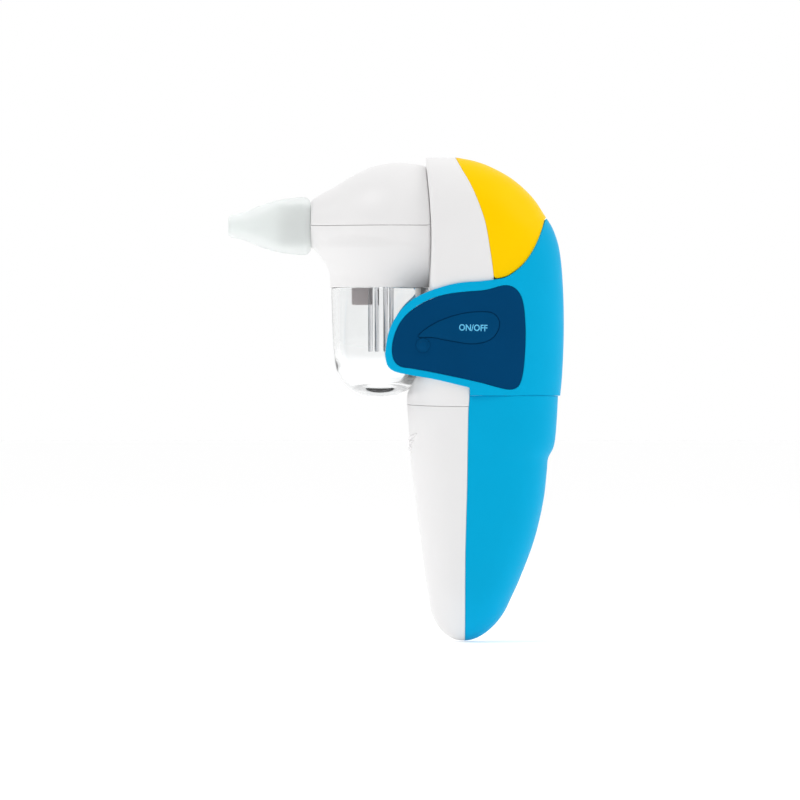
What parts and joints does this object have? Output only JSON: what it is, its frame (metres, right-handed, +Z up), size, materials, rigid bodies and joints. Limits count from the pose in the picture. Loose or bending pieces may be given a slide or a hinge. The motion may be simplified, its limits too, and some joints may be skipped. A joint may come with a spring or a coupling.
{
  "type": "nasal aspirator",
  "caption": "Battery nasal aspirator: curved body with side wings, round suction head, clear collection cup, soft nose tip and a pull-off battery handle.",
  "frame": {"origin": "centre of the grip: inside the handle, on the plane where its white front and blue back meet, at half the object's height", "axes": "-X along the nose tip, towards the nose; -Y towards the side with the power key; +Z up, from the handle's foot to the crown"},
  "size_m": [0.114, 0.047, 0.1641],
  "materials": {
    "white_casing": "smooth satin-gloss white ABS",
    "white_head": "glossy white ABS",
    "yellow_crown": "satin yellow ABS",
    "blue_casing": "satin sky-blue ABS",
    "dark_panel": "soft-touch dark blue",
    "dark_key": "soft-touch dark blue with a fine raised rim",
    "clear_cup": "clear polycarbonate",
    "clear_rods": "clear polycarbonate",
    "grey_tube": "satin warm grey",
    "silicone": "milky translucent silicone",
    "seal_rubber": "soft silicone",
    "black_rubber": "matt black rubber",
    "inner_plastic": "matt natural plastic",
    "dark_plastic": "matt black plastic",
    "board": "green solder mask",
    "cell_jacket": "printed cell jacket",
    "spring_steel": "nickel-plated",
    "motor_steel": "zinc-plated can",
    "magnet": "ferrite",
    "bronze": "sintered bronze",
    "armature": "laminations with copper winding",
    "red_lead": "wire insulation",
    "black_lead": "wire insulation"
  },
  "bodies": {
    "housing": {"front_housing": "white_casing", "rear_housing": "blue_casing", "crown_cover": "yellow_crown", "key_panel": "dark_panel", "grip_panel": "dark_panel", "panel_studs": "dark_panel", "power_switch": "motor_steel", "circuit_board": "board", "board_chips": "dark_plastic", "battery_carrier": "inner_plastic", "battery_left": "cell_jacket", "battery_right": "cell_jacket", "battery_springs": "spring_steel", "battery_contacts": "spring_steel", "battery_leads": "red_lead", "motor_leads": "black_lead", "motor_can": "motor_steel", "motor_end_cap": "dark_plastic", "motor_magnets": "magnet", "motor_bushes": "bronze", "crank_case": "inner_plastic", "diaphragm": "black_rubber", "chamber_block": "inner_plastic", "valve_discs": "black_rubber", "pump_cover": "inner_plastic", "pump_screws": "spring_steel", "pump_cradle": "dark_plastic", "suction_hose": "silicone", "vacuum_port": "inner_plastic", "port_seal": "black_rubber"},
    "power_key": {"power_key": "dark_key", "key_plunger": "dark_plastic"},
    "battery_sleeve": {"sleeve_front": "white_casing", "sleeve_rear": "blue_casing"},
    "rotor": {"motor_rotor": "armature", "motor_shaft": "spring_steel", "eccentric": "inner_plastic", "crank_pin": "spring_steel"},
    "wobbler": {"wobble_plate": "inner_plastic", "plate_stems": "black_rubber"},
    "suction_head": {"head_upper_shell": "white_head", "head_lower_shell": "white_head", "nozzle_stub": "white_head", "inlet_tube": "grey_tube", "suction_cage": "clear_rods"},
    "cup": {"collection_cup": "clear_cup", "cup_seal": "seal_rubber"},
    "tip": {"nose_tip": "silicone"}
  },
  "joints": [
    {"name": "head_slide", "type": "slide", "parent": "housing", "child": "suction_head", "axis": [-1, 0, 0], "range_m": [0, 0.03]},
    {"name": "cup_drop", "type": "slide", "parent": "suction_head", "child": "cup", "axis": [0, 0, -1], "range_m": [0, 0.015]},
    {"name": "tip_slide", "type": "slide", "parent": "suction_head", "child": "tip", "axis": [-1, 0, 0], "range_m": [0, 0.014]},
    {"name": "sleeve_slide", "type": "slide", "parent": "housing", "child": "battery_sleeve", "axis": [0, 0, -1], "range_m": [0, 0.062]},
    {"name": "key_press", "type": "slide", "parent": "housing", "child": "power_key", "axis": [0, 1, 0], "range_m": [0, 0.0008], "stiffness_N_per_m": 1000, "springref_m": -0.0004},
    {"name": "rotor_spin", "type": "hinge", "parent": "housing", "child": "rotor", "pos_m": [0.009, 0, 0.024], "axis": [0, 0, 1], "continuous": true},
    {"name": "plate_wobble", "type": "hinge", "parent": "rotor", "child": "wobbler", "pos_m": [0.009, 0, 0.0515], "axis": [0.1236, 0, 0.9923], "continuous": true}
  ],
  "couplings": [
    {"joint": "cup_drop", "follows": "head_slide", "ratio": 0.5},
    {"joint": "plate_wobble", "follows": "rotor_spin", "ratio": -1}
  ]
}
